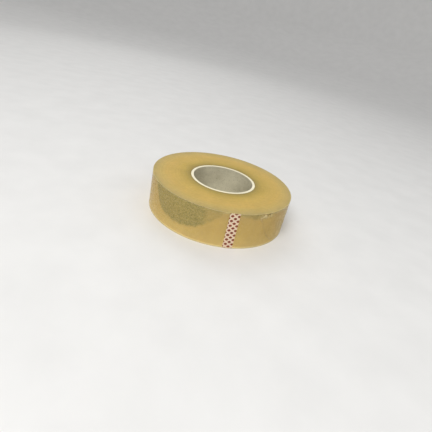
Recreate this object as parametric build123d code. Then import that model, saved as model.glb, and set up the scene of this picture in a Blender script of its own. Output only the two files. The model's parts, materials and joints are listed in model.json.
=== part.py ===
"""Roll of clear packing tape on a spiral-wound paper core.

The roll stands on one end face. The origin is on the core's axis at the bottom face, +Z runs up
the axis, and the pull tab at the tape's loose end faces -Y. Angles are in degrees about +Z, from +X.

The tape comes off clockwise, seen from above: its last turn ends at the free edge, under which the
pull tab sticks, and the stretch beside it is cut into hinged segments so that it can be peeled off.
"""

import os
from math import asin, cos, degrees, pi, radians, sin, tan

from build123d import *

# Sizes, in millimetres
tape_width = 45.0
bore_radius = 38.1  # 3 inch core
winding_radius = 88.9  # under the last turn
film_thickness = 0.15
adhesive_thickness = 0.10
tape_thickness = film_thickness + adhesive_thickness
peel_gap = 0.05  # between the loose end and the winding under it
tab_width = 11.5
tab_to_hinge = 1.0  # from the tab's inner edge to the line it lifts about
segment_length = 12.5  # along the loose end, between two hinge lines
segment_count = 5
hinge_gap = 0.06  # between neighbouring segments

# The core's plies, from the bore outwards: name, thickness, width of the paper strip
plies = [
    ("core_liner_ply", 0.4, 128.0),
    ("core_body_ply_1", 0.5, 131.0),
    ("core_body_ply_2", 0.5, 134.0),
    ("core_body_ply_3", 0.5, 137.0),
    ("core_body_ply_4", 0.5, 140.0),
    ("core_body_ply_5", 0.5, 143.0),
    ("core_outer_ply", 0.5, 146.0),
]
seam_gap = 0.6  # between the strip's edges, measured round the core
first_seam_angle = 250.0
seam_stagger = 51.0  # from one ply's seam to the next, in degrees
seam_overcut = 0.2  # the seam cutter passes the ply's faces by this much
end_overcut = 1.0  # and its ends by this much

core_radius = bore_radius + sum(thickness for _, thickness, _ in plies)
loose_radius = winding_radius + peel_gap  # inside of the loose end


def arc_angle(length, radius=loose_radius):
    """The angle that an arc of this length takes."""
    return degrees(length / radius)


front = -90.0
free_edge_angle = front - arc_angle(tab_width) / 2
tab_hinge_angle = front + arc_angle(tab_width / 2 + tab_to_hinge)
hinge_angles = [
    tab_hinge_angle + arc_angle(segment_length) * i for i in range(segment_count + 1)
]
root_angle = hinge_angles[-1]  # where the last turn begins to stick fast

# The last turn closes on the winding with two arcs, whose centres are shifted so that it sinks by
# one tape thickness and ends square to the radius.
half_sweep = (360.0 - (root_angle - free_edge_angle)) / 2
first_shift = tape_thickness / (2 * (1 - cos(radians(half_sweep))))
second_shift = -2 * first_shift * cos(radians(half_sweep))


def polar(radius, angle):
    return Vector(radius * cos(radians(angle)), radius * sin(radians(angle)), 0)


def ring(inner, outer):
    return extrude(Circle(outer) - Circle(inner), tape_width)


def sector(inner, outer, start, end):
    """A piece of a ring between two angles."""
    outline = (
        CenterArc((0, 0), inner, start, end - start)
        + Line(polar(inner, end), polar(outer, end))
        + CenterArc((0, 0), outer, start, end - start)
        + Line(polar(outer, start), polar(inner, start))
    )
    return extrude(make_face(outline), tape_width)


def sinking_arcs(radius):
    """The two arcs of the last turn that start at this radius where the loose end begins."""
    first_centre = polar(first_shift, root_angle)
    turned = root_angle + half_sweep
    second_centre = first_centre + polar(second_shift, turned)
    first_radius = radius - first_shift
    second_radius = first_radius - second_shift
    return [
        CenterArc(tuple(first_centre), first_radius, root_angle, half_sweep),
        CenterArc(tuple(second_centre), second_radius, turned, half_sweep),
    ]


def last_turn_layer(inner, outer):
    """One layer of the last turn, from the loose end's root round to the step under the free edge."""
    inside, outside = sinking_arcs(inner), sinking_arcs(outer)
    outline = Curve() + inside + outside
    outline += Line(inside[0] @ 0, outside[0] @ 0)
    outline += Line(inside[1] @ 1, outside[1] @ 1)
    return extrude(make_face(outline), tape_width)


def winding():
    """All the turns under the last one, with the step where the last turn leaves them."""
    sinking = sinking_arcs(winding_radius)
    under_loose_end = CenterArc(
        (0, 0), winding_radius, free_edge_angle, root_angle - free_edge_angle
    )
    outline = Curve() + sinking + under_loose_end
    outline += Line(sinking[1] @ 1, under_loose_end @ 0)
    return extrude(make_face(outline) - Circle(core_radius), tape_width)


def ply(inner, thickness, strip_width, seam_angle):
    """One paper ply of the core: a tube whose strip edges meet in a helical seam."""
    outer = inner + thickness
    middle = inner + thickness / 2
    climb = asin(strip_width / (2 * pi * middle))
    pitch = 2 * pi * middle * tan(climb)
    foot = Vector(0, 0, -end_overcut)
    helix = Helix(pitch, tape_width + 2 * end_overcut, middle).moved(
        Location(foot, (0, 0, seam_angle))
    )
    profile = Plane(helix @ 0, x_dir=(helix @ 0) - foot, z_dir=(0, 0, 1))
    cutter_face = profile * Rectangle(thickness + 2 * seam_overcut, seam_gap)
    cutter = sweep(cutter_face, path=helix, binormal=Edge.make_line((0, 0, 0), (0, 0, 1)))
    return ring(inner, outer) - cutter


def core():
    """The core's plies by name."""
    made, inner = {}, bore_radius
    for i, (name, thickness, strip_width) in enumerate(plies):
        seam_angle = first_seam_angle + seam_stagger * i
        made[name] = ply(inner, thickness, strip_width, seam_angle)
        inner += thickness
    return made


def loose_end():
    """The film and adhesive of the loose end's segments, and the pull tab under its last one."""
    film_inside = loose_radius + adhesive_thickness
    film_outside = film_inside + film_thickness
    half_gap = arc_angle(hinge_gap / 2)
    made = {}
    for i in range(segment_count):
        start, end = hinge_angles[i] + half_gap, hinge_angles[i + 1] - half_gap
        number = segment_count - i
        made[f"tail_film_{number}"] = sector(film_inside, film_outside, start, end)
        made[f"tail_adhesive_{number}"] = sector(loose_radius, film_inside, start, end)
    tab_end = tab_hinge_angle - half_gap
    tab_inner_edge = free_edge_angle + arc_angle(tab_width)
    made["tab_film"] = sector(film_inside, film_outside, free_edge_angle, tab_end)
    made["pull_tab"] = sector(loose_radius, film_inside, free_edge_angle, tab_inner_edge)
    return made


def roll():
    """Every node of the roll by name."""
    film_inside = winding_radius + adhesive_thickness
    film_outside = film_inside + film_thickness
    return {
        **core(),
        "tape_winding": winding(),
        "outer_turn_adhesive": last_turn_layer(winding_radius, film_inside),
        "outer_turn_film": last_turn_layer(film_inside, film_outside),
        **loose_end(),
    }


os.makedirs("parts", exist_ok=True)
for node, solid in roll().items():
    export_step(solid, f"parts/{node}.step")
hinge_radius = loose_radius + tape_thickness
for angle in reversed(hinge_angles):
    print("hinge line at", polar(hinge_radius, angle), "angle", round(angle, 3))
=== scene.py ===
"""Looks of a roll of clear packing tape with a dotted pull tab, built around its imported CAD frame.

Lengths are in metres and angles in degrees about the roll's axis, counted from +X, so the pull tab
is at -90. The winding carries the colour and the film over it is clear, so that the roll keeps its
looks where the loose end is peeled off.
"""

import json
from math import atan2, cos, degrees, hypot, radians, sin

import bpy
import numpy as np
from mathutils import Matrix, Vector


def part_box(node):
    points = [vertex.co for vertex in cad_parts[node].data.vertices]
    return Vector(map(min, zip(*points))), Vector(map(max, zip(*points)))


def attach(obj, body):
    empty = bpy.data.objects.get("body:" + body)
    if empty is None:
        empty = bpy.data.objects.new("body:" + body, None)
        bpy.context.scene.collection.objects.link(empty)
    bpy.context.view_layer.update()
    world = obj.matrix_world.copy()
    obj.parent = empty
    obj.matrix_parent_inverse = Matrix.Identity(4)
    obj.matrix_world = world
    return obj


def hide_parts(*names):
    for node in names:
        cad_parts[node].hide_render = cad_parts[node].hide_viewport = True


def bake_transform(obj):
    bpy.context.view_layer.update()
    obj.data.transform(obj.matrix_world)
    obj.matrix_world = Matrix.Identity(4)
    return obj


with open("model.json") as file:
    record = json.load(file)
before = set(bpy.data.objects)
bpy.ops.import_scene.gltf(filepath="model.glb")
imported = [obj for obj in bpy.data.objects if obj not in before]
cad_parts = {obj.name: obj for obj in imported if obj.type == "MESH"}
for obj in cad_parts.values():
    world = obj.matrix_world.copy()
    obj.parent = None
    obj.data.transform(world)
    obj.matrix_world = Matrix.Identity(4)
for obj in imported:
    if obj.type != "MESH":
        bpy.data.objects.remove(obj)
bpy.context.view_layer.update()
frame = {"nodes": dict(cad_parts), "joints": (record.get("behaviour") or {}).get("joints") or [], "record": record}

MM = 0.001


# ---------------------------------------------------------------- sizes read from the frame


def node_span(node):
    """Least and greatest radius of a CAD node, in metres, and least and greatest angle, in degrees."""
    points = [v.co for v in frame["nodes"][node].data.vertices]
    reaches = [hypot(p.x, p.y) for p in points]
    turns = [degrees(atan2(p.y, p.x)) for p in points]
    return min(reaches), max(reaches), min(turns), max(turns)


FRONT = -90.0  # the pull tab's middle
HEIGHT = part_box("tape_winding")[1].z
CORE_RADIUS = node_span("core_outer_ply")[1]
FREE_EDGE = node_span("tab_film")[2]
TAB_EDGE = node_span("pull_tab")[3]
LOOSE_INSIDE, TAB_OUTSIDE = node_span("pull_tab")[:2]
LOOSE_OUTSIDE = node_span("tab_film")[1]
TAPE = LOOSE_OUTSIDE - LOOSE_INSIDE
HINGES = [degrees(atan2(j["pos_m"][1], j["pos_m"][0])) for j in frame["joints"]]
TAIL_BODIES = [j["child"] for j in frame["joints"]]
ROOT = HINGES[0]
WINDING_RADIUS = node_span("outer_turn_film")[1] - TAPE

# ---------------------------------------------------------------- numbers for the details

RNG = np.random.default_rng(7)
EDGE_FILLET = 0.25 * MM
SHARP_ANGLE = 50  # faces that meet at more than this don't shade as one surface

# The winding: depth of the rings on its end faces, width of the step where the last turn leaves it,
# and degrees between the lattice's lines under the loose end, where it is plain, and at the air
END_RELIEF = 0.1 * MM
STEP_WIDTH = 0.12 * MM
LOOSE_SPACING = 0.7
PLAIN_SPACING = 2.4
AIR_SPACING = 0.9
PLAIN_FROM_ROOT = 14  # degrees from the loose end's root to where the plain part begins
AIR_FROM_EDGE = 285  # degrees from the free edge to where the air's lines begin
WINDING_UP = 56
WINDING_OUT = 80
# Rings of two widths: lines in a step, lines over which it is softened, and share in the relief
RINGS = [(3, 2, 0.6), (11, 7, 0.4)]
# How the rings leave a true circle: share of the winding's depth, waves round the roll, and shift
RING_WANDERS = [(0.004, 2, 0), (0.003, 3, 40)]

# The film: its rounded edges, how far a crease stands up, and the lattices' lines
FILM_LIFT = 0.04 * MM  # between the winding's skin and the film laid on it
FILM_OUTSIDE = LOOSE_OUTSIDE - FILM_LIFT
FILM_RIM = 0.12 * MM  # closer lines run this far in from the film's long edges
FILM_FILLET = 0.08 * MM
CREASE_RISE = 0.22 * MM
OUTER_TURN_LINES = (300, 24)
TAIL_UP = 88
TAIL_LINES_PER_DEGREE = 3
TAIL_LEAST_LINES = 12
OVER_TAB_LINES = (40, 60)
TAB_LINES = (30, 60)
TAB_RIM = 0.1 * MM

# Milky stretch where the last turns hold air: height of its lower edge, by angle from the tab
AIR_FLOOR = [
    (-74, 45), (-68, 40), (-65, 33), (-61.5, 24), (-57.5, 17.5), (-50, 15), (-42, 13), (-34, 14),
    (-27, 16.8), (-22, 21.8), (-17, 27.2), (-14, 31.5), (-10.5, 36.5), (-8, 41), (-6, 46),
]
SMALL_AIR = [(2, 45), (5, 41), (10, 40), (16, 37), (20, 38.5), (24, 45), (30, 45)]
# Ripples of its lower edge: height, and how fast they turn with the angle and with the height
AIR_RIPPLES = [(0.6, 0.9, 0.3), (0.35, 2.3, -0.8)]
# Line in the loose end past which it is pressed down less well: angle from the tab, by height
PRESS_LINE = [(0, 41.5), (4, 38.5), (8, 35), (13, 31), (21, 27), (29, 23.5), (35, 21.8), (45, 20.5)]
# Small creases in the loose end, near the upper rim: from (arc from the tab, height) to the same
# at the other end, and half width, in millimetres, then strength
CREASES = [
    ((31.9, 38.6), (38.4, 42.7), 1.9, 0.85),
    ((36.4, 43.0), (41.8, 39.6), 1.7, 0.75),
    ((45.2, 39.6), (47.6, 43.8), 1.7, 0.9),
    ((29.5, 41.2), (32.6, 42.6), 0.7, 0.4),
    ((34.6, 35.0), (33.0, 38.0), 0.9, 0.35),
]
# Painted shade in small strips beside the creases, in the same form
PAINTED_CREASE_SHADE = [
    ((39.2, 43.0), (45.4, 44.4), 1.2, 0.65),
    ((52.0, 43.6), (54.2, 44.2), 1.0, 0.5),
    ((21.5, 39.5), (28.0, 41.5), 2.2, 0.25),
]

# The core's plies: width of the strips and how much each is wider than the one inside it, gap where
# a strip's edges meet, and the angle of the first of these seams at the bottom and from each to the
# next
STRIP_WIDTH = 128 * MM
STRIP_STEP = 3 * MM
SEAM_GAP = 0.6 * MM
FIRST_SEAM = 250
SEAM_STAGGER = 51
PLY_STANDS_BACK = 0.12 * MM  # most that a ply's cut end is lower than its neighbours
PLY_RAGGED = 0.04 * MM
RAGGED_WAVES = (5, 13, 31)  # round the core, in a cut end
PLY_AROUND = 240
PLY_UP = 30
PLY_RIM = 0.3 * MM
PLY_OUT = np.array([0, 0.12, 0.3, 0.5, 0.7, 0.88, 1.0])

# The studio, in metres: radius and height of the floor's rings, and the lamps' name, place, width
# and power in watts
FLOOR_GAP = 0.1 * MM  # between the floor and the roll
FLOOR_RINGS = [(0.3, 0.0), (1.0, 0.0), (2.0, 0.0), (2.6, 0.08), (3.1, 0.35), (3.4, 0.9), (3.5, 2.6)]
FLOOR_SIDES = 96
LAMPS = [
    ("key", (-0.65, -1.0, 1.35), 1.0, 20),
    ("fill", (1.2, -0.6, 1.0), 1.2, 2),
    ("back", (-0.3, 1.4, 1.5), 1.2, 7),
]
SURROUND_STRENGTH = 0.5


def smooth(low, high, value):
    """A soft step from 0 at low to 1 at high, which falls where high is the smaller."""
    t = np.clip((value - low) / (high - low), 0, 1)
    return t * t * (3 - 2 * t)


def bell(value, middle, width):
    """A soft hump of height 1."""
    return np.exp(-((value - middle) / width) ** 2)


def from_points(points, at):
    """The height of a line through a few points, which runs on level past the first and last."""
    xs, ys = zip(*points)
    return np.interp(at, xs, ys)


def rounded_steps(count, step, soft):
    """Random steps with soft corners, from 0 to 1: how turns stand back on an end face."""
    steps = np.repeat(RNG.random(count // step + 2), step)[:count]
    kernel = np.hanning(soft + 2)
    steps = np.convolve(steps, kernel / kernel.sum(), mode="same")
    return (steps - steps.min()) / (steps.max() - steps.min())


# ---------------------------------------------------------------- meshes


def quads(grid, flip):
    """The faces of a grid of point numbers, turned over on request."""
    a, b, c, d = grid[:-1, :-1], grid[1:, :-1], grid[1:, 1:], grid[:-1, 1:]
    corners = (a, d, c, b) if flip else (a, b, c, d)
    return np.stack([x.ravel() for x in corners], axis=1)


def block(name, around, up, out, place, marks=None, closed=False):
    """The closed skin of a block bent round the axis.

    around, up and out are the lattice's lines, and place(around, up, out) gives a point's radius,
    angle and height. marks gives point attributes by name, worked out from the same three.
    """
    skin = np.zeros((len(around), len(up), len(out)), bool)
    skin[:, [0, -1], :] = True
    skin[:, :, [0, -1]] = True
    if not closed:
        skin[[0, -1]] = True
    index = np.full(skin.shape, -1)
    index[skin] = np.arange(skin.sum())
    u, v, w = (g[skin] for g in np.meshgrid(around, up, out, indexing="ij"))
    radius, angle, height = place(u, v, w)
    turn = np.radians(angle)
    points = np.stack([radius * np.cos(turn), radius * np.sin(turn), height], axis=1)
    if closed:
        index = np.concatenate([index, index[:1]])
    faces = [
        quads(index[:, :, -1], False), quads(index[:, :, 0], True),
        quads(index[:, 0, :], False), quads(index[:, -1, :], True),
    ]
    if not closed:
        faces += [quads(index[0], True), quads(index[-1], False)]
    mesh = bpy.data.meshes.new(name)
    mesh.from_pydata(points.tolist(), [], np.concatenate(faces).tolist())
    mesh.shade_smooth()
    mesh.set_sharp_from_angle(angle=radians(SHARP_ANGLE))
    for mark, value in (marks or {}).items():
        layer = mesh.attributes.new(mark, "FLOAT", "POINT")
        layer.data.foreach_set("value", value(u, v, w).astype(np.float32))
    piece = bpy.data.objects.new(name, mesh)
    bpy.context.scene.collection.objects.link(piece)
    return piece


def edged(length, count, fillet):
    """Lines from 0 to length, with closer ones along a rounded edge at each end."""
    rim = fillet * np.array([0, 0.25, 0.6, 1])
    middle = np.linspace(fillet, length - fillet, count)[1:-1]
    return np.concatenate([rim, middle, (length - rim)[::-1]])


def fillet_drop(distance, fillet):
    """How far a slightly flattened round edge stands back at a distance from the edge."""
    flattening = 0.6
    t = np.clip(1 - distance / fillet, 0, 1)
    return fillet * (1 - np.sqrt(1 - t * t)) * flattening


def ends_drop(height, fillet):
    """How far the side's rounded edges stand back, at the bottom and at the top."""
    return fillet_drop(height, fillet) + fillet_drop(HEIGHT - height, fillet)


# ---------------------------------------------------------------- shader helpers


def srgb(*levels):
    """A linear colour from 0-255 levels."""
    parts = [x / 255 for x in levels]
    return [x / 12.92 if x <= 0.04045 else ((x + 0.055) / 1.055) ** 2.4 for x in parts] + [1]


def shade(colour, factor):
    """The same colour, darker or lighter."""
    return [min(1, c * factor) for c in colour[:3]] + [1]


class Shader:
    """A material with one Principled shader, and short calls that add nodes to it."""

    def __init__(self, name, **values):
        self.material = bpy.data.materials.new(name)
        self.material.use_nodes = True
        self.tree = self.material.node_tree
        self.principled = self.tree.nodes["Principled BSDF"]
        self.object = self.add("ShaderNodeTexCoord").outputs["Object"]
        for socket, value in values.items():
            self.set(socket.replace("_", " "), value)

    def add(self, kind, **properties):
        """A new node."""
        node = self.tree.nodes.new(kind)
        for key, value in properties.items():
            setattr(node, key, value)
        return node

    def put(self, socket, value):
        """Link a socket, or give it a constant."""
        if isinstance(value, bpy.types.NodeSocket):
            self.tree.links.new(value, socket)
        else:
            socket.default_value = value

    def set(self, socket, value):
        """Put a value on one of the Principled shader's sockets."""
        self.put(self.principled.inputs[socket], value)

    def math(self, operation, *values, clamp=False):
        node = self.add("ShaderNodeMath", operation=operation, use_clamp=clamp)
        for socket, value in zip(node.inputs, values):
            self.put(socket, value)
        return node.outputs[0]

    def plus(self, a, b, clamp=False):
        return self.math("ADD", a, b, clamp=clamp)

    def times(self, a, b):
        return self.math("MULTIPLY", a, b)

    def less(self, a, b):
        return self.math("SUBTRACT", a, b)

    def mix(self, factor, a, b, blend="MIX"):
        node = self.add("ShaderNodeMix", data_type="RGBA", blend_type=blend)
        self.put(node.inputs["Factor"], factor)
        self.put(node.inputs["A"], a)
        self.put(node.inputs["B"], b)
        return node.outputs["Result"]

    def ramp(self, value, stops):
        """A colour by value, from (value, colour) stops; the value runs over the stops' range."""
        low, high = stops[0][0], stops[-1][0]
        node = self.add("ShaderNodeValToRGB")
        elements = node.color_ramp.elements
        while len(elements) < len(stops):
            elements.new(0.5)
        for element, (at, colour) in zip(elements, stops):
            element.position = (at - low) / (high - low)
            element.color = colour
        self.put(node.inputs[0], self.span(value, low, high))
        return node.outputs[0]

    def tint(self, colour, value, *stops):
        """A colour multiplied by a ramp."""
        return self.mix(1.0, colour, self.ramp(value, stops), "MULTIPLY")

    def span(self, value, low, high, to_low=0.0, to_high=1.0):
        """The value moved from one range to another, and held at the ends of it."""
        node = self.add("ShaderNodeMapRange", clamp=True)
        for socket, part in zip(node.inputs, (value, low, high, to_low, to_high)):
            self.put(socket, part)
        return node.outputs[0]

    def step(self, value, low, high):
        """A soft step from 0 to 1."""
        node = self.add("ShaderNodeMapRange", interpolation_type="SMOOTHSTEP", clamp=True)
        for socket, part in zip(node.inputs, (value, low, high, 0.0, 1.0)):
            self.put(socket, part)
        return node.outputs[0]

    def axes(self):
        """The point's x, y and z in the roll's frame."""
        node = self.add("ShaderNodeSeparateXYZ")
        self.put(node.inputs[0], self.object)
        return node.outputs

    def radius(self):
        """The point's distance from the roll's axis."""
        x, y, _ = self.axes()
        return self.math("SQRT", self.plus(self.times(x, x), self.times(y, y)))

    def near_ends(self, full, none):
        """1 near the end faces, down to a depth, and 0 below another."""
        height = self.axes()[2]
        depth = self.math("MINIMUM", height, self.less(HEIGHT, height))
        return self.less(1.0, self.step(depth, full, none))

    def noise(self, size, detail=2.0, rough=0.5, stretch=(1, 1, 1), distortion=0.0):
        """Noise from 0 to 1 whose features are about this size, in metres."""
        mapping = self.add("ShaderNodeMapping")
        self.put(mapping.inputs["Vector"], self.object)
        mapping.inputs["Scale"].default_value = [1 / (size * s) for s in stretch]
        node = self.add("ShaderNodeTexNoise")
        self.put(node.inputs["Vector"], mapping.outputs[0])
        node.inputs["Scale"].default_value = 1.0
        node.inputs["Detail"].default_value = detail
        node.inputs["Roughness"].default_value = rough
        node.inputs["Distortion"].default_value = distortion
        return node.outputs["Fac"]

    def noise_along(self, value, size, detail=2.0):
        """Noise that changes along one number only."""
        node = self.add("ShaderNodeTexNoise", noise_dimensions="1D")
        self.put(node.inputs["W"], self.math("DIVIDE", value, size))
        node.inputs["Scale"].default_value = 1.0
        node.inputs["Detail"].default_value = detail
        return node.outputs["Fac"]

    def mark(self, name):
        """A point attribute of the mesh."""
        return self.add("ShaderNodeAttribute", attribute_name=name).outputs["Fac"]

    def bump(self, height, distance, strength=1.0):
        node = self.add("ShaderNodeBump")
        node.inputs["Strength"].default_value = strength
        node.inputs["Distance"].default_value = distance
        self.put(node.inputs["Height"], height)
        self.set("Normal", node.outputs[0])


# ---------------------------------------------------------------- materials


def wound_tape_material():
    """Straw-yellow turns of clear tape: rings on the end faces, air under the last turns on the side, painted
    shade towards the core and a painted glow along the bottom.
    """
    s = Shader("wound_tape", IOR=1.15, Subsurface_Weight=0.25, Subsurface_Scale=0.004)
    s.set("Subsurface Radius", (1.0, 0.7, 0.25))
    radius = s.radius()
    height = s.axes()[2]
    # End faces darker towards the core: painted shade where the core blocks light through the clear turns; greyer
    # and greener at the outer rim: painted light entering through the edge.
    end_face_with_painted_shade = s.ramp(radius, [
        (0.0415, srgb(150, 132, 82)), (0.0435, srgb(170, 150, 89)), (0.047, srgb(183, 160, 91)),
        (0.052, srgb(198, 171, 97)), (0.060, srgb(208, 178, 104)), (0.072, srgb(210, 179, 107)),
        (0.080, srgb(203, 178, 112)), (0.084, srgb(198, 174, 115)), (0.087, srgb(190, 170, 115)),
        (0.0885, srgb(183, 164, 113)),
    ])
    # The side: a bright painted glow along the bottom, painted light on its lower part, and lightened under the
    # upper rim against the rounded edge's shading.
    side = s.ramp(height, [
        (0.0, srgb(255, 238, 186)), (0.0014, srgb(255, 232, 172)), (0.0026, srgb(216, 189, 127)),
        (0.008, srgb(212, 184, 120)), (0.018, srgb(205, 176, 111)), (0.034, srgb(201, 172, 109)),
        (0.0415, srgb(195, 168, 111)), (0.0435, srgb(190, 170, 116)), (0.045, srgb(200, 180, 124)),
    ])
    on_side = s.step(radius, 0.0878, 0.0886)
    on_face = s.less(1.0, on_side)
    colour = s.mix(on_side, end_face_with_painted_shade, side)

    # clouds and mottles, then rings on the end faces
    for size, dark in ((0.022, srgb(243, 243, 240)), (0.0035, srgb(246, 245, 240))):
        colour = s.tint(colour, s.noise(size, 3), (0.3, dark), (0.7, srgb(255, 254, 250)))
    rings = s.noise_along(radius, 0.0011, 6)
    ringed = s.tint(colour, rings, (0.3, srgb(246, 245, 241)), (0.7, srgb(255, 255, 255)))
    colour = s.mix(on_face, colour, ringed)

    # air, greener and darker by flecks
    fine = s.noise(0.0009, 4, 0.7, (1, 1, 1.5))
    patchy = s.noise(0.0019, 3, 0.6, distortion=0.8)
    flecks = s.plus(s.times(fine, 0.3), s.times(patchy, 0.7))
    air = s.times(s.mark("air"), s.span(flecks, 0.4, 0.6, 0.84, 1.0))
    air_colour = s.ramp(flecks, [
        (0.4, srgb(166, 153, 99)), (0.5, srgb(148, 137, 87)), (0.6, srgb(130, 121, 73)),
    ])
    s.set("Base Color", s.mix(air, colour, air_colour))

    dullness = s.span(s.noise(0.003, 3), 0.3, 0.7, 0.22, 0.32)
    s.set("Roughness", s.plus(dullness, s.times(on_face, 0.18)))
    relief = s.plus(s.times(rings, on_face), s.times(s.times(fine, on_side), 0.5))
    s.bump(relief, 0.00012, 0.5)
    return s.material


def film_material():
    """Clear film with drawing lines, a painted highlight along its cut edges, a painted glow along the bottom,
    painted light under the upper rim, whitened creases that are partly a painted highlight, and darker spots with
    painted shade beside the creases.
    """
    s = Shader("clear_film", IOR=1.16)
    height = s.axes()[2]
    crease, press_line_and_painted_shade = s.mark("crease"), s.mark("press_line_and_painted_shade")
    lines = s.noise(0.0016, 3, 0.6, (1, 1, 14))
    waves = s.noise(0.014, 2, 0.5, (1, 1, 1.5))
    # A painted highlight along the film's cut edges at top and bottom.
    edge_painted_highlight = s.near_ends(0.0002, 0.0007)
    # A painted glow along the bottom of the side.
    foot_painted_glow = s.less(1.0, s.step(height, 0.0003, 0.0024))
    # More film colour under the upper rim: painted light against the shading of the rounded edge.
    upper_rim_painted_light = s.step(height, 0.0425, 0.0445)
    # The pale colour: whitened film at the creases, partly a painted highlight, together with the painted edge
    # highlight and the painted glow along the bottom.
    pale = s.math("MAXIMUM", s.math("MAXIMUM", crease, edge_painted_highlight), foot_painted_glow)
    colour = s.mix(pale, srgb(206, 182, 112), srgb(238, 220, 168))
    # Darker film along the press line and a little past it, and painted shade beside the creases.
    s.set("Base Color", s.mix(press_line_and_painted_shade, colour, srgb(126, 109, 56)))
    alpha = s.plus(0.045, s.times(upper_rim_painted_light, 0.06))
    for part, share in ((edge_painted_highlight, 0.15), (foot_painted_glow, 0.2), (crease, 0.5), (press_line_and_painted_shade, 0.6)):
        alpha = s.plus(alpha, s.times(part, share), clamp=True)
    s.set("Alpha", alpha)
    s.set("Roughness", s.span(lines, 0.3, 0.7, 0.16, 0.3))
    s.bump(s.plus(s.times(lines, 0.15), waves), 0.0004, 0.5)
    return s.material


def tab_material():
    """White paper with rows of small red dots, printed staggered and a little unevenly."""
    s = Shader("dotted_tab_paper", Roughness=0.7, IOR=1.2)
    s.set("Subsurface Weight", 0.1)
    s.set("Subsurface Scale", 0.001)
    x, _, z = s.axes()
    column_pitch, row_pitch = 0.00375, 0.006
    first_column, first_row = 0.0028, 0.0005
    radius, soft = 0.0019, 0.0003
    roundness = 1.5  # 2 is an ellipse and 1 a diamond
    flattening = 1.3

    shifted = s.plus(x, first_column)
    column = s.math("ROUND", s.math("DIVIDE", shifted, column_pitch))
    across = s.less(shifted, s.times(column, column_pitch))
    stagger = s.times(s.math("FLOORED_MODULO", column, 2.0), row_pitch / 2)
    climbed = s.less(s.plus(z, first_row), stagger)
    along = s.math("WRAP", climbed, row_pitch / 2, -row_pitch / 2)
    wobble = s.times(s.less(s.noise(0.0012, 2), 0.5), 0.0005)
    wide = s.math("POWER", s.math("ABSOLUTE", across), roundness)
    tall = s.math("POWER", s.times(s.math("ABSOLUTE", along), flattening), roundness)
    reach = s.math("POWER", s.plus(wide, tall), 1 / roundness)
    dot = s.less(1.0, s.step(s.plus(reach, wobble), radius, radius + soft))

    paper = s.ramp(s.noise(0.0009, 4, 0.7), [(0.3, srgb(232, 204, 180)), (0.7, srgb(242, 218, 196))])
    ink = s.ramp(s.noise(0.0007, 2), [(0.3, srgb(112, 12, 8)), (0.7, srgb(140, 26, 18))])
    s.set("Base Color", s.mix(s.times(dot, 0.96), paper, ink))
    s.bump(s.noise(0.0004, 3), 0.00005, 0.6)
    return s.material


def board_material(name, wall, fleck, edge):
    """Paper board: fibres and flecks on its faces, and a paler, rougher cut end."""
    s = Shader(name, Roughness=0.85, IOR=1.4)
    cloud = s.noise(0.006, 3, 0.6)
    fibre = s.noise(0.0011, 4, 0.7, (1.6, 1.6, 1))
    flecks = s.step(s.noise(0.0013, 1), 0.6, 0.68)
    base = s.mix(cloud, shade(wall, 0.82), shade(wall, 1.15))
    base = s.mix(s.times(fibre, 0.35), base, shade(wall, 0.75))
    base = s.mix(s.times(flecks, 0.35), base, fleck)
    stain = s.noise(0.03, 3, 0.5, (1, 1, 0.7))
    base = s.tint(base, stain, (0.35, srgb(228, 227, 224)), (0.65, srgb(255, 255, 255)))
    cut = s.mix(s.times(s.noise(0.0007, 4, 0.7), 0.4), edge, shade(edge, 0.8))
    s.set("Base Color", s.mix(s.near_ends(0.0003, 0.0007), base, cut))
    s.set("Roughness", s.span(fibre, 0.3, 0.7, 0.8, 0.95))
    s.bump(s.plus(fibre, s.times(cloud, 0.5)), 0.00012, 0.7)
    return s.material


def floor_material():
    """Plain pale floor, faintly uneven."""
    s = Shader("pale_floor", Roughness=0.7)
    colour = s.ramp(s.noise(0.05, 3), [(0.3, srgb(228, 227, 224)), (0.7, srgb(233, 232, 229))])
    s.set("Base Color", colour)
    s.bump(s.noise(0.002, 3), 0.0002, 0.15)
    return s.material


# ---------------------------------------------------------------- pieces


def dress(piece, material, slot, *nodes, body=None):
    """Give a piece its material, the nodes it replaces, and the body it rides on; the slot is not used."""
    piece.data.materials.append(material)
    if nodes:
        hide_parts(*nodes)
    if body:
        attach(piece, body)
    return piece


def from_tab(angle):
    """The angle from the tab's middle, between -180 and 180."""
    return np.mod(angle - FRONT + 180, 360) - 180


def last_turn_sink(angle):
    """How far the last turn has sunk at an angle, from the loose end's root to the free edge."""
    share = np.clip(np.mod(angle - ROOT, 360) / (360 - (ROOT - FREE_EDGE)), 0, 1)
    return TAPE * (1 - np.cos(np.pi * share)) / 2


def winding_surface(angle):
    """Radius of the winding's skin, which is full under the loose end and sinks under the last turn."""
    under_loose = np.mod(angle - FREE_EDGE, 360) < ROOT - FREE_EDGE
    return np.where(under_loose, WINDING_RADIUS, WINDING_RADIUS - last_turn_sink(angle))


def air_mark(angle, height):
    """How milky the side is: air under the last turns, left of the tab and a little right of it."""
    turn, h = from_tab(angle), height / MM
    above = h - from_points(AIR_FLOOR, turn)
    above = above + sum(size * np.sin(turn * by_turn + h * by_height)
                        for size, by_turn, by_height in AIR_RIPPLES)
    # the large patch: a denser lower edge and middle, thinner to the right, and soft side edges
    milkiness = 0.84 + 0.07 * bell(above, 2.5, 2.0)
    large = smooth(-2.0, 3.0, above) * milkiness * smooth(-73, -64, turn)
    large += 0.1 * smooth(0, 3, above) * bell(turn, -29, 8)
    large *= 1 - 0.45 * smooth(-23, -18, turn)
    large *= smooth(-6, -11, turn)
    small = 0.65 * smooth(-1, 4, h - from_points(SMALL_AIR, turn))
    small *= smooth(1, 4, turn) * smooth(29, 24, turn)
    return np.clip(large + small, 0, 1)


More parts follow.
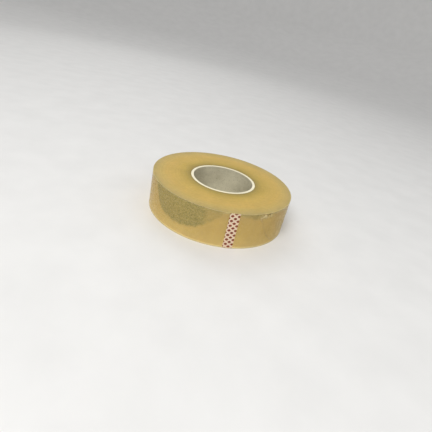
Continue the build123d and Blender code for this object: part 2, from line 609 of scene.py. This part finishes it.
def tab_arc(angle):
    """The arc from the tab's middle, in millimetres."""
    return np.radians(from_tab(angle)) * LOOSE_OUTSIDE / MM


def stroke(arc, height, start, end, half_width, strength):
    """A soft, slightly wavy mark on the side, strongest along its middle, from 0 to strength."""
    wave, wave_turn, soft_end = 0.3, 1.9, 1.2
    along, rise = end[0] - start[0], end[1] - start[1]
    length = hypot(along, rise)
    done = ((arc - start[0]) * along + (height - start[1]) * rise) / length
    across = ((arc - start[0]) * rise - (height - start[1]) * along) / length
    across = across + wave * np.sin(done * wave_turn + start[0])
    ends = smooth(-soft_end, soft_end, done) * smooth(length + soft_end, length - soft_end, done)
    return strength * bell(across, 0, half_width) * ends


def crease_mark(angle, height):
    """How strongly the loose end's film is creased, from 0 to 1."""
    arc, h = tab_arc(angle), height / MM
    return np.clip(sum(stroke(arc, h, *crease) for crease in CREASES), 0, 1)


def press_line_and_painted_shade_mark(angle, height):
    """Darker spots of the loose end: along the press line and a little past it, and painted shade beside the
    creases.
    """
    arc, h = tab_arc(angle), height / MM
    past = from_tab(angle) - from_points(PRESS_LINE, h)
    line = (0.1 + 0.12 * smooth(30, 12, h)) * bell(past, 0.8, 0.8) * smooth(40, 34, h)
    beyond = 0.04 * smooth(-0.5, 2, past) * smooth(26, 12, past)
    # Painted shade beside the creases.
    crease_shade = sum(stroke(arc, h, *shade_stroke) for shade_stroke in PAINTED_CREASE_SHADE)
    return np.clip(line + beyond + crease_shade, 0, 1)


def wound_turns(material):
    """All the turns under the last one, as one skin with rings on its end faces."""
    step_turn = degrees(STEP_WIDTH / WINDING_RADIUS)
    plain_start, air_start = ROOT + PLAIN_FROM_ROOT, FREE_EDGE + AIR_FROM_EDGE
    around = np.concatenate([
        [FREE_EDGE - step_turn, FREE_EDGE],
        np.arange(FREE_EDGE + LOOSE_SPACING, plain_start, LOOSE_SPACING),
        np.arange(plain_start, air_start, PLAIN_SPACING),
        np.arange(air_start, FREE_EDGE + 360 - AIR_SPACING / 2, AIR_SPACING),
    ])
    up = edged(HEIGHT, WINDING_UP, EDGE_FILLET)
    out = np.linspace(0, 1, WINDING_OUT)
    bottom_ring, top_ring = [
        sum(share * rounded_steps(len(out), step, soft) for step, soft, share in RINGS)
        for _ in ("bottom", "top")
    ]

    def place(u, v, w):
        skin = winding_surface(u)
        radius = CORE_RADIUS + (skin - CORE_RADIUS) * w
        radius = radius - np.where(w == 1, ends_drop(v, EDGE_FILLET), 0)
        wander = sum(size * np.sin(np.radians(u * waves + shift)) for size, waves, shift in RING_WANDERS)
        ring_at = w + wander * w * (1 - w) * 4  # most in the middle of the winding
        edge = fillet_drop(skin - radius, EDGE_FILLET)
        rise = (v == 0) * (END_RELIEF * np.interp(ring_at, out, bottom_ring) + edge)
        drop = (v == HEIGHT) * (END_RELIEF * np.interp(ring_at, out, top_ring) + edge)
        return radius, u, v + rise - drop

    marks = {"air": lambda u, v, w: air_mark(u, v) * (w == 1)}
    piece = block("wound_turns", around, up, out, place, marks, closed=True)
    return dress(piece, material, "wound_tape", "tape_winding", body="roll")


def film_sheet(name, start, end, columns, rows, inside, outside):
    """A curved sheet of film between two angles, whose inner and outer radius are given by angle."""
    around = np.linspace(start, end, columns)
    up = edged(HEIGHT, rows, FILM_RIM)

    def place(u, v, w):
        low, high = inside(u), outside(u)
        puff = CREASE_RISE * crease_mark(u, v)
        drop = ends_drop(v, FILM_FILLET) * (w == 1)
        return low + (high - low) * w + puff - drop, u, v

    marks = {
        "crease": lambda u, v, w: crease_mark(u, v),
        "press_line_and_painted_shade": lambda u, v, w: press_line_and_painted_shade_mark(u, v) * (w == 1),
    }
    return block(name, around, up, np.array([0.0, 1.0]), place, marks)


def steady(radius):
    """The same radius at every angle."""
    return lambda angle: np.full_like(angle, radius)


def outer_turn(material):
    """The last turn, from the loose end's root round to the step at the free edge."""
    piece = film_sheet(
        "outer_turn", ROOT, FREE_EDGE + 360, *OUTER_TURN_LINES,
        lambda angle: WINDING_RADIUS - last_turn_sink(angle) + FILM_LIFT,
        lambda angle: WINDING_RADIUS + TAPE - last_turn_sink(angle) - FILM_LIFT,
    )
    return dress(piece, material, "film", "outer_turn_film", "outer_turn_adhesive", body="roll")


def loose_end(material):
    """The loose end's film: each piece spans one hinge line and ends midway to the next."""
    middles = [(a + b) / 2 for a, b in zip(HINGES, HINGES[1:])]
    starts, ends = [ROOT] + middles, middles + [TAB_EDGE]
    inside, outside = steady(LOOSE_INSIDE), steady(FILM_OUTSIDE)
    for i, (start, end) in enumerate(zip(starts, ends)):
        columns = max(TAIL_LEAST_LINES, round((start - end) * TAIL_LINES_PER_DEGREE))
        piece = film_sheet(f"tail_run_{i + 1}", end, start, columns, TAIL_UP, inside, outside)
        last = i == len(starts) - 1
        nodes = [] if last else [f"tail_film_{i + 1}", f"tail_adhesive_{i + 1}"]
        dress(piece, material, "film", *nodes)
        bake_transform(piece)
    on_tab = steady(TAB_OUTSIDE + FILM_LIFT / 2)
    piece = film_sheet("film_over_tab", FREE_EDGE, TAB_EDGE, *OVER_TAB_LINES, on_tab, outside)
    dress(piece, material, "film", "tab_film", body=TAIL_BODIES[-1])


def pull_tab(material):
    """The paper tab, stuck under the film's end."""
    columns, rows = TAB_LINES
    around = np.linspace(FREE_EDGE, TAB_EDGE, columns)
    up = edged(HEIGHT, rows, TAB_RIM)

    def place(u, v, w):
        return LOOSE_INSIDE + (TAB_OUTSIDE - LOOSE_INSIDE) * w, u, v

    piece = block("dotted_pull_tab", around, up, np.array([0.0, 1.0]), place)
    return dress(piece, material, "tab_paper", "pull_tab", body=TAIL_BODIES[-1])


def core_ply(node, order, is_bare, material, slot):
    """One wound ply of the core, with the seam where its strip's edges meet.

    A bare ply is the core's inside or outside, and its cut ends are rounded off at both walls.
    """
    low, high = node_span(node)[:2]
    middle = (low + high) / 2
    climb = np.arcsin((STRIP_WIDTH + STRIP_STEP * order) / (2 * np.pi * middle))
    gap = degrees(SEAM_GAP / middle)
    bottom_back, top_back = PLY_STANDS_BACK * RNG.random(2) + PLY_RAGGED
    waves = list(zip(RAGGED_WAVES, RNG.random(len(RAGGED_WAVES)) * 360))
    fillet = min(EDGE_FILLET, (high - low) / 2)

    def place(u, v, w):
        seam = FIRST_SEAM + SEAM_STAGGER * order + np.degrees(v / np.tan(climb) / middle)
        angle = seam + gap / 2 + (360 - gap) * u
        radius = low + (high - low) * w
        ripple = sum(np.sin(np.radians(angle * count + shift)) for count, shift in waves) / len(waves)
        to_wall = np.minimum(radius - low, high - radius) if is_bare else fillet
        back = PLY_RAGGED * ripple + fillet_drop(to_wall, fillet)
        height = v + (v == 0) * (bottom_back + back) - (v == HEIGHT) * (top_back + back)
        return radius, angle, height

    name = node.replace("core_", "paper_")
    piece = block(name, np.linspace(0, 1, PLY_AROUND), edged(HEIGHT, PLY_UP, PLY_RIM), PLY_OUT, place)
    return dress(piece, material, slot, node, body="roll")


def core(grey, white):
    """The core's plies, of which the one in the bore is grey."""
    nodes = [n for n in frame["record"]["behaviour"]["bodies"]["roll"] if n.startswith("core_")]
    for order, node in enumerate(nodes):
        is_bare = node in (nodes[0], nodes[-1])
        look = (grey, "grey_chipboard") if order == 0 else (white, "white_board")
        core_ply(node, order, is_bare, *look)


# ---------------------------------------------------------------- floor, light and camera


def studio():
    """A pale floor that curves up far away, soft lights and a pale surround."""
    turns = [radians(side * 360 / FLOOR_SIDES) for side in range(FLOOR_SIDES)]
    points = [(r * cos(turn), r * sin(turn), z - FLOOR_GAP) for r, z in FLOOR_RINGS for turn in turns]
    centre = len(points)
    points.append((0.0, 0.0, -FLOOR_GAP))
    after = [(side + 1) % FLOOR_SIDES for side in range(FLOOR_SIDES)]
    faces = [(centre, a, b) for a, b in enumerate(after)]
    for ring in range(len(FLOOR_RINGS) - 1):
        near, far = ring * FLOOR_SIDES, (ring + 1) * FLOOR_SIDES
        faces += [(near + a, far + a, far + b, near + b) for a, b in enumerate(after)]
    mesh = bpy.data.meshes.new("floor")
    mesh.from_pydata(points, [], faces)
    mesh.shade_smooth()
    floor = bpy.data.objects.new("floor", mesh)
    bpy.context.scene.collection.objects.link(floor)
    mesh.materials.append(floor_material())

    world = bpy.data.worlds.new("surround")
    world.use_nodes = True
    background = world.node_tree.nodes["Background"].inputs
    background["Color"].default_value = srgb(250, 251, 255)
    background["Strength"].default_value = SURROUND_STRENGTH
    bpy.context.scene.world = world

    for lamp in LAMPS:
        soft_light(*lamp)


def soft_light(name, at, size, power):
    """A round soft lamp that points at the roll's middle."""
    light = bpy.data.lights.new(name, "AREA")
    light.shape = "DISK"
    light.size = size
    light.energy = power
    lamp = bpy.data.objects.new(name, light)
    lamp.location = at
    towards = Vector((0, 0, HEIGHT / 2)) - Vector(at)
    lamp.rotation_euler = towards.to_track_quat("-Z", "Y").to_euler()
    bpy.context.scene.collection.objects.link(lamp)


def camera():
    """A wide lens a little left of the tab, tilted down, and turned about its line of sight."""
    azimuth, distance, height = -14.1, 0.4046, 0.2116  # from the front, from the axis, above the floor
    heading, pitch, roll = 75.6, -28.78, 13.48
    data = bpy.data.cameras.new("camera")
    data.lens = 28.345
    data.clip_start = 0.01
    eye = bpy.data.objects.new("camera", data)
    turned = (
        Matrix.Rotation(radians(heading - 90), 4, "Z")
        @ Matrix.Rotation(radians(90 + pitch), 4, "X")
        @ Matrix.Rotation(radians(roll), 4, "Z")
    )
    place = (distance * sin(radians(azimuth)), -distance * cos(radians(azimuth)), height)
    eye.matrix_world = Matrix.Translation(place) @ turned
    bpy.context.scene.collection.objects.link(eye)
    bpy.context.scene.camera = eye


camera()
studio()
bpy.context.scene.view_settings.view_transform = "Standard"

film = film_material()
wound_turns(wound_tape_material())
outer_turn(film)
loose_end(film)
pull_tab(tab_material())
core(
    board_material("grey_chipboard", srgb(205, 198, 172), srgb(130, 120, 98), srgb(228, 220, 198)),
    board_material("white_board", srgb(226, 220, 200), srgb(190, 180, 156), srgb(247, 240, 212)),
)
